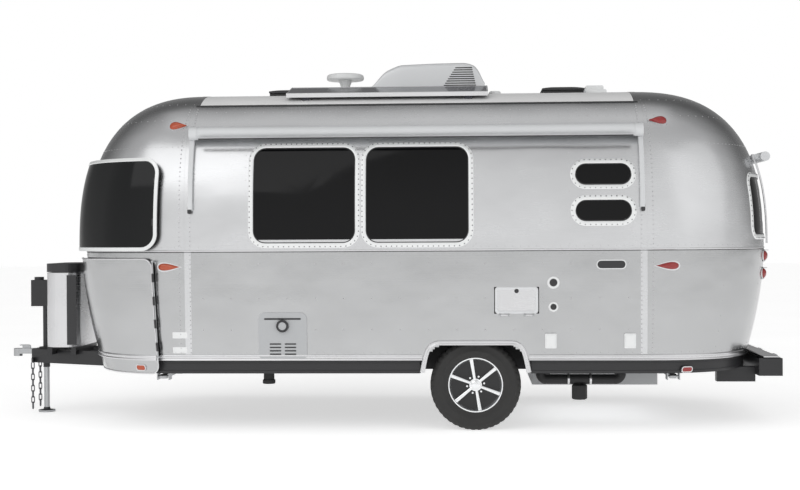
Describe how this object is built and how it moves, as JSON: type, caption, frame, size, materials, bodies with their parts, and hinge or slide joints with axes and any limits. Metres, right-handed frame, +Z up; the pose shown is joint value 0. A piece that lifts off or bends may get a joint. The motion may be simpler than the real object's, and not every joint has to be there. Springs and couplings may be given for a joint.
{
  "type": "travel caravan",
  "caption": "Round-ended riveted aluminium travel caravan on one axle, with coupler, jack, entry door, awnings, roof gear and rear bumper locker.",
  "frame": {"origin": "on the ground, midway along the overall length and on the centre line", "axes": "+X from the coupler to the rear bumper, +Y to the entry door side, +Z up"},
  "size_m": [6.366, 2.5388, 2.9203],
  "materials": {
    "polished_aluminium": "polished sheet with riveted seams",
    "roof_sheet": "satin light grey",
    "black_steel": "satin black",
    "black_underbody": "matt black",
    "zinc_steel": "zinc plated",
    "white_steel": "gloss white",
    "tyre_rubber": "matt",
    "wheel_alloy": "machined and lacquered",
    "tinted_glass": "dark tint",
    "guard_plastic": "smoked, glossy",
    "window_trim": "satin",
    "awning_fabric": "woven acrylic, silver grey",
    "white_plastic": "moulded",
    "solar_glass": "dark cells under glass",
    "grey_plastic": "moulded grey",
    "amber_lens": "clear amber",
    "red_lens": "clear red"
  },
  "bodies": {
    "root": {"floor_pan": "black_underbody", "tongue_frame": "black_steel", "coupler": "zinc_steel", "jack_tube": "black_steel", "safety_chains": "zinc_steel", "gas_bottles": "white_steel", "gas_cover": "polished_aluminium", "axle": "black_steel", "wheel_wells": "black_underbody", "side_wall_left": "polished_aluminium", "side_wall_right": "polished_aluminium", "roof_panel": "roof_sheet", "front_end_upper": "polished_aluminium", "front_end_lower": "polished_aluminium", "rear_end_upper": "polished_aluminium", "rear_end_lower": "polished_aluminium", "window_glass": "tinted_glass", "window_frames": "window_trim", "awning_left": "awning_fabric", "awning_right": "awning_fabric", "awning_rear": "awning_fabric", "air_conditioner": "white_plastic", "roof_vents": "black_underbody", "roof_fittings": "white_plastic", "solar_panels": "solar_glass", "heater_panel": "grey_plastic", "side_fittings": "white_plastic", "marker_lamps": "amber_lens", "tail_lamps": "red_lens", "rear_bumper": "black_steel", "waste_tank": "grey_plastic", "waste_pipes": "black_underbody", "stabiliser_mounts": "zinc_steel", "hinge_pins": "zinc_steel"},
    "wheel_left": {"tyre_left": "tyre_rubber", "rim_left": "wheel_alloy"},
    "wheel_right": {"tyre_right": "tyre_rubber", "rim_right": "wheel_alloy"},
    "jack_leg": {"jack_leg": "zinc_steel"},
    "gas_cover_lid": {"gas_cover_lid": "black_underbody"},
    "window_guard": {"window_guard": "guard_plastic"},
    "stone_guard_left": {"stone_guard_left": "polished_aluminium"},
    "stone_guard_right": {"stone_guard_right": "polished_aluminium"},
    "vent_lid_front": {"vent_lid_front": "black_underbody"},
    "vent_lid_rear": {"vent_lid_rear": "black_underbody"},
    "baggage_hatch": {"baggage_hatch": "polished_aluminium"},
    "bumper_lid": {"bumper_lid": "polished_aluminium"},
    "stabiliser_front_left": {"stabiliser_front_left": "zinc_steel"},
    "stabiliser_front_right": {"stabiliser_front_right": "zinc_steel"},
    "stabiliser_rear_left": {"stabiliser_rear_left": "zinc_steel"},
    "stabiliser_rear_right": {"stabiliser_rear_right": "zinc_steel"},
    "entry_door": {"entry_door": "polished_aluminium", "door_window": "tinted_glass"},
    "entry_step": {"entry_step": "black_steel"}
  },
  "joints": [
    {"name": "wheel_left_spin", "type": "hinge", "parent": "root", "child": "wheel_left", "pos_m": [0.789, -1.0175, 0.348], "axis": [0, 1, 0], "continuous": true},
    {"name": "wheel_right_spin", "type": "hinge", "parent": "root", "child": "wheel_right", "pos_m": [0.789, 1.0175, 0.348], "axis": [0, 1, 0], "continuous": true},
    {"name": "jack_leg_slide", "type": "slide", "parent": "root", "child": "jack_leg", "axis": [0, 0, 1], "range_m": [0, 0.3]},
    {"name": "gas_cover_lid_hinge", "type": "hinge", "parent": "root", "child": "gas_cover_lid", "pos_m": [-2.5185, 0, 1.198], "axis": [0, 1, 0], "range_deg": [0, 65]},
    {"name": "window_guard_hinge", "type": "hinge", "parent": "root", "child": "window_guard", "pos_m": [-2.37555, 0, 2.104], "axis": [0, 1, 0], "range_deg": [0, 45]},
    {"name": "stone_guard_left_hinge", "type": "hinge", "parent": "root", "child": "stone_guard_left", "pos_m": [-1.64289, -1.21756, 0.58], "axis": [-0.0456, -0.0436, 0.998], "range_deg": [0, 45]},
    {"name": "stone_guard_right_hinge", "type": "hinge", "parent": "root", "child": "stone_guard_right", "pos_m": [-1.64289, 1.21756, 0.58], "axis": [-0.0456, 0.0436, 0.998], "range_deg": [-45, 0]},
    {"name": "vent_lid_front_hinge", "type": "hinge", "parent": "root", "child": "vent_lid_front", "pos_m": [-0.5705, 0, 2.6863], "axis": [0, 1, 0], "range_deg": [0, 60]},
    {"name": "vent_lid_rear_hinge", "type": "hinge", "parent": "root", "child": "vent_lid_rear", "pos_m": [1.7155, 0, 2.6863], "axis": [0, 1, 0], "range_deg": [0, 60]},
    {"name": "baggage_hatch_hinge", "type": "hinge", "parent": "root", "child": "baggage_hatch", "pos_m": [1.098, -1.21533, 0.889], "axis": [1, 0, 0], "range_deg": [0, 110]},
    {"name": "bumper_lid_hinge", "type": "hinge", "parent": "root", "child": "bumper_lid", "pos_m": [3.1745, 0, 0.5305], "axis": [0, 1, 0], "range_deg": [0, 110]},
    {"name": "stabiliser_front_left_hinge", "type": "hinge", "parent": "root", "child": "stabiliser_front_left", "pos_m": [-1.663, -0.93, 0.398], "axis": [1, 0, 0], "range_deg": [-50, 0]},
    {"name": "stabiliser_front_right_hinge", "type": "hinge", "parent": "root", "child": "stabiliser_front_right", "pos_m": [-1.663, 0.93, 0.398], "axis": [1, 0, 0], "range_deg": [0, 50]},
    {"name": "stabiliser_rear_left_hinge", "type": "hinge", "parent": "root", "child": "stabiliser_rear_left", "pos_m": [2.314, -0.93, 0.398], "axis": [1, 0, 0], "range_deg": [-50, 0]},
    {"name": "stabiliser_rear_right_hinge", "type": "hinge", "parent": "root", "child": "stabiliser_rear_right", "pos_m": [2.314, 0.93, 0.398], "axis": [1, 0, 0], "range_deg": [0, 50]},
    {"name": "entry_door_hinge", "type": "hinge", "parent": "root", "child": "entry_door", "pos_m": [-0.544, 1.2285, 1.39], "axis": [0, 0, 1], "range_deg": [0, 150]},
    {"name": "entry_step_slide", "type": "slide", "parent": "root", "child": "entry_step", "axis": [0, 1, 0], "range_m": [0, 0.25]}
  ]
}
